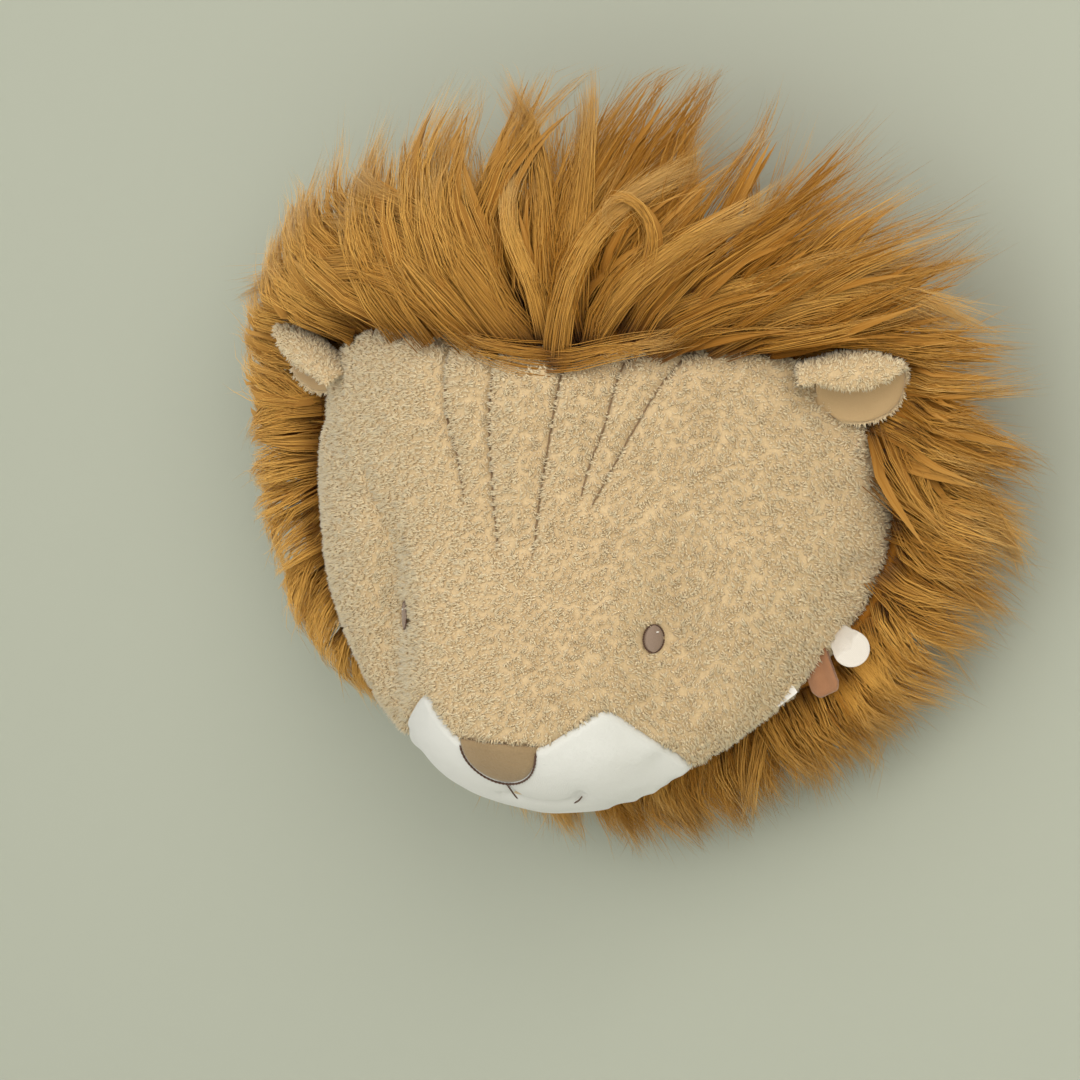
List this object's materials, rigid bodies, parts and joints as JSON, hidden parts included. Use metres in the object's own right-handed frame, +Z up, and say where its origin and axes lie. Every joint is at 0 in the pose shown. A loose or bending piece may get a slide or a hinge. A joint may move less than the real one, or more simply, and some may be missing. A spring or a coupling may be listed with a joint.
{
  "type": "lion head wall mask",
  "caption": "Stuffed plush lion head with a long fur mane and small stitched features, flat at the back to hang on a wall.",
  "frame": {"origin": "centre of the back panel's flat rear face, which lies against the wall", "axes": "+Z up, +Y into the wall; the face looks towards -Y"},
  "size_m": [0.3799, 0.1502, 0.3359],
  "materials": {
    "beige_plush": "short-pile beige plush, matte",
    "white_velour": "smooth warm white velour, soft sheen",
    "brown_velour": "mid-brown velour with a darker stitched edge",
    "ear_velour": "smooth light brown velour lining",
    "mane_fur": "long golden-brown faux fur, lighter at the tips",
    "eye_thread": "dark satin embroidery thread",
    "mouth_thread": "dark brown sewing thread",
    "back_fabric": "plain woven beige cloth over a stiff board",
    "brown_suede": "brown suede cloth, matte",
    "tag_fabric": "off-white woven tape, bare"
  },
  "bodies": {
    "root": {"face": "beige_plush", "muzzle": "white_velour", "nose": "brown_velour", "eye_left": "eye_thread", "eye_right": "eye_thread", "mouth_stitch_centre": "mouth_thread", "mouth_stitch_corner": "mouth_thread", "ear_left": "beige_plush", "ear_right": "beige_plush", "ear_lining_left": "ear_velour", "ear_lining_right": "ear_velour", "mane": "mane_fur", "back_panel": "back_fabric", "loop_tab": "brown_suede", "round_tag": "tag_fabric", "care_label": "tag_fabric"}
  },
  "joints": []
}
